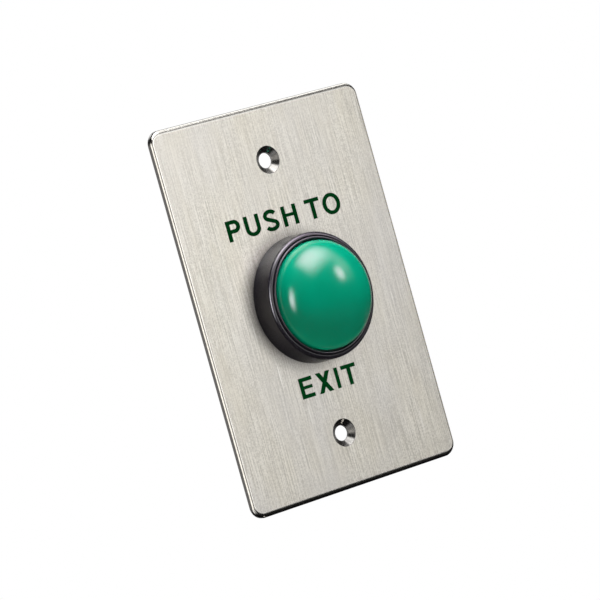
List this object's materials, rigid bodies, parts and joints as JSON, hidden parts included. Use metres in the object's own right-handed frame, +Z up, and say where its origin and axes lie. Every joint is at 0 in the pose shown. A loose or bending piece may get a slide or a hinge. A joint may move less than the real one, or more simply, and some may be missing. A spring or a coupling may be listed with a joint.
{
  "type": "door exit button",
  "caption": "Wall-mounted door exit button: brushed steel plate with two countersunk screw holes and a spring-return green dome that works a snap switch.",
  "frame": {"origin": "centre of the plate's back face, midway between the two wall-screw holes; the wall is the plane y = 0, and the button's axis is 0.8 mm below the origin", "axes": "+Z up along the plate's long side, +X to the right seen from the front, the front and the button face -Y, what goes into the wall box lies towards +Y"},
  "size_m": [0.078, 0.061, 0.117],
  "materials": {
    "brushed_stainless": "satin stainless sheet with a vertical brushed grain",
    "black_moulding": "satin black moulded plastic",
    "green_gloss": "glossy opaque green moulded plastic",
    "natural_moulding": "natural off-white acetal",
    "plated_steel": "zinc plated steel",
    "spring_steel": "bright drawn spring wire",
    "carrier_moulding": "dark grey moulded nylon",
    "switch_moulding": "black moulded phenolic",
    "switch_cover_moulding": "dark grey moulded phenolic",
    "red_moulding": "red acetal",
    "brass_parts": "stamped brass",
    "spring_bronze": "copper alloy spring strip",
    "silver_alloy": "silver alloy contact"
  },
  "bodies": {
    "plate_assembly": {"faceplate": "brushed_stainless", "button_housing": "black_moulding", "lock_washer": "plated_steel", "panel_nut": "black_moulding", "return_spring": "spring_steel", "switch_carrier": "carrier_moulding", "switch_pins": "plated_steel", "switch_case": "switch_moulding", "switch_cover": "switch_cover_moulding", "cover_rivets": "brass_parts", "snap_spring": "spring_bronze", "common_terminal": "brass_parts", "normally_open_terminal": "brass_parts", "normally_closed_terminal": "brass_parts", "normally_open_contact": "silver_alloy", "normally_closed_contact": "silver_alloy"},
    "press_button": {"dome_cap": "green_gloss", "plunger": "natural_moulding"},
    "switch_actuator": {"switch_button": "red_moulding"},
    "contact_arm": {"contact_blade": "spring_bronze", "moving_contact": "silver_alloy"}
  },
  "joints": [
    {"name": "button_press", "type": "slide", "parent": "plate_assembly", "child": "press_button", "axis": [0, 1, 0], "range_m": [0, 0.0022], "stiffness_N_per_m": 600, "springref_m": -0.004, "deforming": ["return_spring", "snap_spring"]},
    {"name": "switch_button_travel", "type": "slide", "parent": "plate_assembly", "child": "switch_actuator", "axis": [0, 1, 0], "range_m": [0, 0.0022]},
    {"name": "contact_swing", "type": "hinge", "parent": "plate_assembly", "child": "contact_arm", "pos_m": [0, 0.025, 0.0097], "axis": [1, 0, 0], "range_deg": [0, 1.75]}
  ],
  "couplings": [
    {"joint": "switch_button_travel", "follows": "button_press", "ratio": 1},
    {"joint": "contact_swing", "follows": "button_press", "rad_per_m": 13.8}
  ]
}
